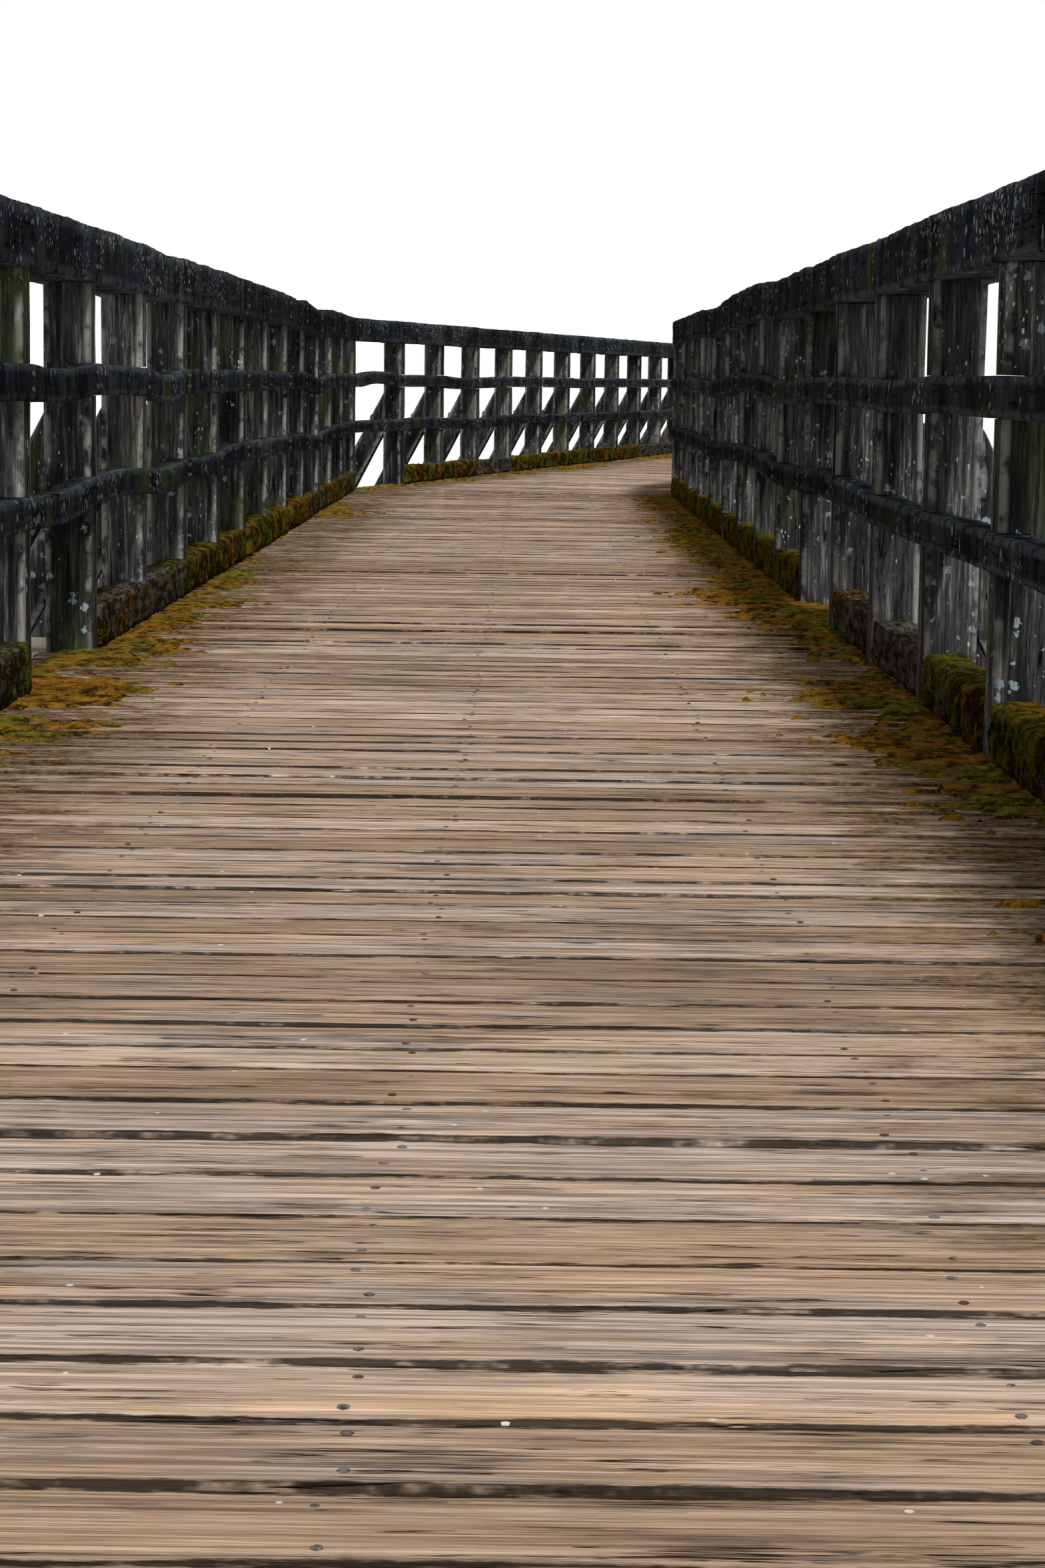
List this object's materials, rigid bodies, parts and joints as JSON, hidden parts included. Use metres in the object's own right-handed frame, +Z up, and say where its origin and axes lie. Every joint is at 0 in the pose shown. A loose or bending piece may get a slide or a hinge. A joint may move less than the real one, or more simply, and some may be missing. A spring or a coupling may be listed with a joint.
{
  "type": "wooden footbridge",
  "caption": "Weathered timber footbridge on trestle bents that bends to the right, with plank deck, mossy kerbs, notched posts, three rails a side and raking braces.",
  "frame": {"origin": "middle of the underside of the first sill, at the near end", "axes": "+Z up, +Y along the first straight stretch towards the bend, +X to the right; the second stretch turns 13 degrees to the right"},
  "size_m": [6.0704, 32.1278, 2.814],
  "materials": {
    "deck_planks": "weathered bare planks",
    "railing_timber": "dark weathered timber with lichen",
    "kerb_timber": "mossy weathered timber",
    "structure_timber": "weathered bare timber"
  },
  "bodies": {
    "root": {"near_sills": "structure_timber", "near_bent_posts": "structure_timber", "near_bent_caps": "structure_timber", "near_sway_braces": "structure_timber", "near_girders": "structure_timber", "near_cross_beams": "structure_timber", "near_joists": "structure_timber", "far_sills": "structure_timber", "far_bent_posts": "structure_timber", "far_bent_caps": "structure_timber", "far_sway_braces": "structure_timber", "far_girders": "structure_timber", "far_cross_beams": "structure_timber", "far_joists": "structure_timber", "deck_span_1": "deck_planks", "deck_span_2": "deck_planks", "deck_span_3": "deck_planks", "deck_span_4": "deck_planks", "deck_span_5": "deck_planks", "near_left_posts": "railing_timber", "near_left_braces": "railing_timber", "near_left_top_rail": "railing_timber", "near_left_mid_rail": "railing_timber", "near_left_lower_rail": "railing_timber", "near_left_kerbs": "kerb_timber", "near_right_posts": "railing_timber", "near_right_braces": "railing_timber", "near_right_top_rail": "railing_timber", "near_right_mid_rail": "railing_timber", "near_right_lower_rail": "railing_timber", "near_right_kerbs": "kerb_timber", "far_left_posts": "railing_timber", "far_left_braces": "railing_timber", "far_left_top_rail": "railing_timber", "far_left_mid_rail": "railing_timber", "far_left_lower_rail": "railing_timber", "far_left_kerbs": "kerb_timber", "far_right_posts": "railing_timber", "far_right_braces": "railing_timber", "far_right_top_rail": "railing_timber", "far_right_mid_rail": "railing_timber", "far_right_lower_rail": "railing_timber", "far_right_kerbs": "kerb_timber"}
  },
  "joints": []
}
